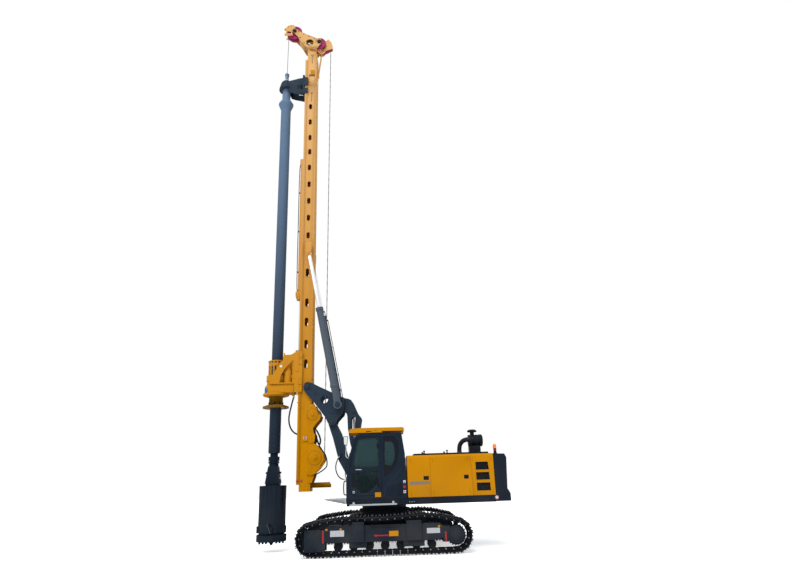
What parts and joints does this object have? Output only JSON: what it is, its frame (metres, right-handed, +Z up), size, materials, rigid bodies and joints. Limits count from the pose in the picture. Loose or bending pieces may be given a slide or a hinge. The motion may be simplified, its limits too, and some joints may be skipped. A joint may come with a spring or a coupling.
{
  "type": "crawler rotary piling rig",
  "caption": "Crawler rig that drills bored piles: a hinged mast carries a telescopic kelly bar, rotary head and drilling bucket.",
  "frame": {"origin": "on the ground, on the slewing axis", "axes": "+X forward to the drilling tool, +Y to the operator's left (cab side), +Z up along the mast"},
  "size_m": [7.37, 4.2, 18.914],
  "materials": {
    "track_steel": "worn, semi-matt",
    "frame_slate": "satin",
    "slate_paint": "satin",
    "cab_slate": "satin",
    "amber_paint": "gloss",
    "mast_amber": "gloss",
    "glass": "tinted",
    "seat_black": "woven",
    "light_grey": "satin",
    "cast_engine": "matt",
    "beacon_orange": "gloss",
    "chrome": "polished",
    "sheave_red": "satin",
    "kelly_slate": "satin",
    "bucket_black": "satin, scuffed"
  },
  "bodies": {
    "undercarriage": {"car_body": "frame_slate", "track_left": "track_steel", "track_right": "track_steel", "track_frame_left": "frame_slate", "track_frame_right": "frame_slate", "track_wheels_left": "frame_slate", "track_wheels_right": "frame_slate", "final_drive_covers": "frame_slate"},
    "upper": {"deck": "slate_paint", "boom_tower": "slate_paint", "cab_shell": "cab_slate", "cab_visor": "amber_paint", "cab_glass": "glass", "cab_seat": "seat_black", "front_platform": "light_grey", "side_step": "light_grey", "cab_mirror": "cab_slate", "handrails": "slate_paint", "tank_box": "slate_paint", "hood": "amber_paint", "hood_deck": "cab_slate", "hood_grilles": "cab_slate", "engine_block": "cast_engine", "counterweight": "slate_paint", "air_cleaner": "cab_slate", "beacon": "beacon_orange", "exhaust_pipe": "cab_slate"},
    "door": {"cab_door": "cab_slate", "cab_door_glass": "glass"},
    "boom": {"boom": "slate_paint"},
    "front_link": {"front_link": "slate_paint", "boom_hose": "seat_black"},
    "luff_barrel": {"luff_ram_barrel": "slate_paint"},
    "luff_rod": {"luff_ram_rod": "chrome"},
    "mast_link": {"mast_link": "slate_paint"},
    "mast_barrels": {"mast_ram_barrels": "slate_paint"},
    "mast_rods": {"mast_ram_rods": "chrome"},
    "mast": {"mast_column": "mast_amber", "ram_brackets": "mast_amber", "mast_head": "mast_amber", "winch_frame": "mast_amber", "winch_pipes": "mast_amber", "crowd_ram_barrel": "mast_amber"},
    "front_sheaves": {"front_sheaves": "sheave_red"},
    "rear_sheaves": {"rear_sheaves": "sheave_red"},
    "side_sheave": {"side_sheave": "sheave_red"},
    "main_drum": {"main_winch_drum": "mast_amber"},
    "aux_drum": {"aux_winch_drum": "mast_amber"},
    "rotary_head": {"head_carriage": "mast_amber", "gearbox_housing": "mast_amber", "drive_motors": "mast_amber", "kelly_damper": "mast_amber", "crowd_ram_rod": "chrome", "head_hose": "seat_black"},
    "drive_sleeve": {"drive_sleeve": "mast_amber"},
    "kelly_guide": {"kelly_guide": "slate_paint"},
    "kelly": {"kelly_tube": "kelly_slate", "kelly_stub": "kelly_slate", "drilling_bucket": "bucket_black"}
  },
  "joints": [
    {"name": "slew", "type": "hinge", "parent": "undercarriage", "child": "upper", "pos_m": [0, 0, 1.11], "axis": [0, 0, 1], "continuous": true},
    {"name": "cab_door_hinge", "type": "hinge", "parent": "upper", "child": "door", "pos_m": [0.052, 1.455, 2.3], "axis": [0, 0, 1], "range_deg": [0, 105]},
    {"name": "luff", "type": "hinge", "parent": "upper", "child": "boom", "pos_m": [0.67, 0, 2.26], "axis": [0, 1, 0], "range_deg": [-12, 22]},
    {"name": "front_link_pivot", "type": "hinge", "parent": "upper", "child": "front_link", "pos_m": [0.86, 0, 1.74], "axis": [0, 1, 0], "range_deg": [-12.5, 22.5]},
    {"name": "mast_link_pivot", "type": "hinge", "parent": "boom", "child": "mast_link", "pos_m": [1.36, 0, 4.14], "axis": [0, 1, 0], "range_deg": [-22.5, 12.5]},
    {"name": "luff_ram_tilt", "type": "hinge", "parent": "upper", "child": "luff_barrel", "pos_m": [0.8, 0, 1.56], "axis": [0, 1, 0], "range_deg": [-9.07, 16.21]},
    {"name": "luff_ram_stroke", "type": "slide", "parent": "luff_barrel", "child": "luff_rod", "axis": [0.0376, 0, 0.9993], "range_m": [-0.0906, 0.054]},
    {"name": "mast_tilt", "type": "hinge", "parent": "mast_link", "child": "mast", "pos_m": [2.33, 0, 4.75], "axis": [0, 1, 0], "range_deg": [-90, 5]},
    {"name": "mast_ram_tilt", "type": "hinge", "parent": "mast_link", "child": "mast_barrels", "pos_m": [1.36, 0, 4.14], "axis": [0, 1, 0], "range_deg": [-91.41, 5.55]},
    {"name": "mast_ram_stroke", "type": "slide", "parent": "mast_barrels", "child": "mast_rods", "axis": [0.1883, 0, 0.9821], "range_m": [-1.629, 0.0999]},
    {"name": "crowd", "type": "slide", "parent": "mast", "child": "rotary_head", "axis": [0, 0, -1], "range_m": [-1.65, 1.68]},
    {"name": "sleeve_spin", "type": "hinge", "parent": "rotary_head", "child": "drive_sleeve", "pos_m": [3.36, 0, 4.3], "axis": [0, 0, 1], "continuous": true},
    {"name": "kelly_hoist", "type": "slide", "parent": "mast", "child": "kelly_guide", "axis": [0, 0, -1], "range_m": [-1, 9.4]},
    {"name": "kelly_spin", "type": "hinge", "parent": "kelly_guide", "child": "kelly", "pos_m": [3.36, 0, 16], "axis": [0, 0, 1], "continuous": true},
    {"name": "main_drum_spin", "type": "hinge", "parent": "mast", "child": "main_drum", "pos_m": [2.07, 0, 2.6], "axis": [0, 1, 0], "continuous": true},
    {"name": "aux_drum_spin", "type": "hinge", "parent": "mast", "child": "aux_drum", "pos_m": [2.15, 0, 3.895], "axis": [0, 1, 0], "continuous": true},
    {"name": "front_sheave_spin", "type": "hinge", "parent": "mast", "child": "front_sheaves", "pos_m": [3.08, 0, 18.62], "axis": [0, 1, 0], "continuous": true},
    {"name": "rear_sheave_spin", "type": "hinge", "parent": "mast", "child": "rear_sheaves", "pos_m": [1.95, 0, 18.03], "axis": [0, 1, 0], "continuous": true},
    {"name": "side_sheave_spin", "type": "hinge", "parent": "mast", "child": "side_sheave", "pos_m": [2.113, 0, 18.09], "axis": [0, 1, 0], "continuous": true}
  ],
  "couplings": [
    {"joint": "front_link_pivot", "follows": "luff", "ratio": 1},
    {"joint": "mast_link_pivot", "follows": "luff", "ratio": -1},
    {"joint": "luff_ram_tilt", "follows": "luff", "ratio": 0.7143},
    {"joint": "luff_ram_stroke", "follows": "luff", "m_per_rad": -0.2099},
    {"joint": "mast_ram_tilt", "follows": "mast_tilt", "ratio": 1.0101},
    {"joint": "mast_ram_stroke", "follows": "mast_tilt", "m_per_rad": 1.0307},
    {"joint": "kelly_spin", "follows": "sleeve_spin", "ratio": 1}
  ]
}
